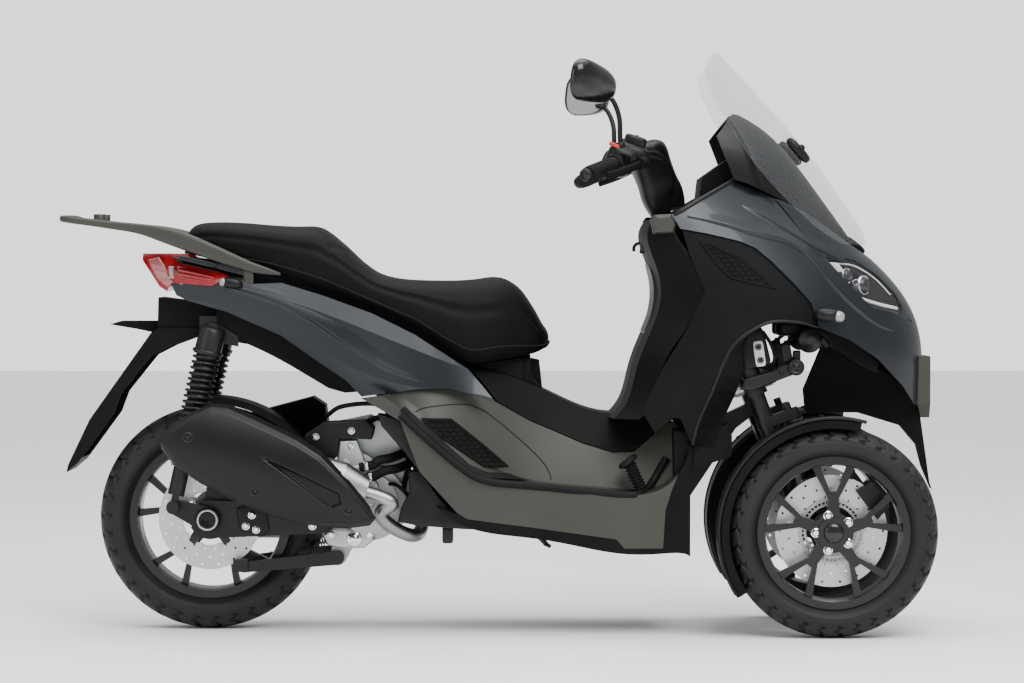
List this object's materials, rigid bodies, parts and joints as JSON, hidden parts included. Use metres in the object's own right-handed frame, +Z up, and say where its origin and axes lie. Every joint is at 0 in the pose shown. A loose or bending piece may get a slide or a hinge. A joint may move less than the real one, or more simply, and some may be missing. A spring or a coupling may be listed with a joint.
{
  "type": "three-wheel motor scooter",
  "caption": "Tilting motor scooter with a pair of steered wheels in front and one behind, step-through floor, tall windscreen, two-level seat over a helmet tub, and grab rail.",
  "frame": {"origin": "on the floor, at the middle of the overall length and width", "axes": "+X towards the front wheels, +Y to the rider's left, +Z up"},
  "size_m": [2.04, 0.8044, 1.349],
  "materials": {
    "panel_grey": "metallic satin",
    "panel_olive": "matt",
    "plastic_black": "grained matt",
    "plastic_smoke": "smoked gloss",
    "vinyl_black": "grained vinyl",
    "screen_clear": "clear",
    "lens_clear": "clear",
    "lens_red": "clear red",
    "lens_amber": "clear amber",
    "chrome_lamp": "bright",
    "rubber_black": "matt",
    "tyre_rubber": "matt",
    "rim_black": "satin",
    "disc_steel": "ground",
    "steel_dark": "satin",
    "alloy": "cast",
    "exhaust_steel": "satin",
    "mirror_black": "gloss"
  },
  "bodies": {
    "chassis": {"side_fairings": "panel_grey", "nose_panel": "panel_grey", "tail_panels": "panel_grey", "lower_shields": "plastic_black", "leg_shield": "plastic_black", "deck": "plastic_black", "dash": "plastic_black", "cowl": "plastic_smoke", "windscreen": "screen_clear", "screen_mounts": "plastic_black", "headlamps": "chrome_lamp", "headlamp_lenses": "lens_clear", "indicators": "lens_amber", "bumper_trim": "panel_olive", "splash_guard": "plastic_black", "floorboards": "panel_olive", "floor_strips": "rubber_black", "centre_tunnel": "plastic_black", "belly_pan": "plastic_black", "storage_tub": "plastic_black", "grab_rail": "panel_olive", "tail_lamp": "lens_red", "plate_holder": "plastic_black", "floor_frame": "steel_dark", "front_mast": "steel_dark", "cross_arms": "alloy", "side_columns": "steel_dark", "engine": "alloy", "transmission": "alloy", "air_box": "plastic_black", "axle_carrier": "steel_dark", "rear_shocks": "steel_dark", "shock_brackets": "steel_dark", "silencer": "exhaust_steel", "silencer_shield": "plastic_black", "exhaust_pipe": "exhaust_steel", "rear_hugger": "plastic_black"},
    "handlebar": {"handlebar": "rubber_black", "handlebar_cover": "plastic_black", "controls": "plastic_black", "mirrors": "mirror_black"},
    "knuckle_right": {"fork_right": "steel_dark", "mudguard_right": "plastic_black"},
    "knuckle_left": {"fork_left": "steel_dark", "mudguard_left": "plastic_black"},
    "wheel_front_right": {"tyre_front_right": "tyre_rubber", "rim_front_right": "rim_black", "disc_front_right": "disc_steel"},
    "wheel_front_left": {"tyre_front_left": "tyre_rubber", "rim_front_left": "rim_black", "disc_front_left": "disc_steel"},
    "wheel_rear": {"tyre_rear": "tyre_rubber", "rim_rear": "rim_black", "disc_rear": "disc_steel"},
    "seat": {"seat": "vinyl_black"},
    "centre_stand": {"centre_stand": "steel_dark"}
  },
  "joints": [
    {"name": "steer", "type": "hinge", "parent": "chassis", "child": "handlebar", "pos_m": [0.396, 0, 0.97], "axis": [-0.342, 0, 0.9397], "range_deg": [-30, 30]},
    {"name": "steer_right", "type": "hinge", "parent": "chassis", "child": "knuckle_right", "pos_m": [0.712, -0.145, 0.242], "axis": [-0.342, 0, 0.9397], "range_deg": [-30, 30]},
    {"name": "steer_left", "type": "hinge", "parent": "chassis", "child": "knuckle_left", "pos_m": [0.712, 0.145, 0.242], "axis": [-0.342, 0, 0.9397], "range_deg": [-30, 30]},
    {"name": "spin_front_right", "type": "hinge", "parent": "knuckle_right", "child": "wheel_front_right", "pos_m": [0.768, -0.2325, 0.242], "axis": [0, 1, 0], "continuous": true},
    {"name": "spin_front_left", "type": "hinge", "parent": "knuckle_left", "child": "wheel_front_left", "pos_m": [0.768, 0.2325, 0.242], "axis": [0, 1, 0], "continuous": true},
    {"name": "spin_rear", "type": "hinge", "parent": "chassis", "child": "wheel_rear", "pos_m": [-0.672, 0, 0.262], "axis": [0, 1, 0], "continuous": true},
    {"name": "seat_hinge", "type": "hinge", "parent": "chassis", "child": "seat", "pos_m": [0.088, 0, 0.622], "axis": [0, 1, 0], "range_deg": [0, 62]},
    {"name": "stand_hinge", "type": "hinge", "parent": "chassis", "child": "centre_stand", "pos_m": [-0.372, 0, 0.172], "axis": [0, -1, 0], "range_deg": [0, 78], "stiffness_Nm_per_rad": 8, "springref_deg": -51.57}
  ],
  "couplings": [
    {"joint": "steer_right", "follows": "steer", "ratio": 1},
    {"joint": "steer_left", "follows": "steer", "ratio": 1}
  ]
}
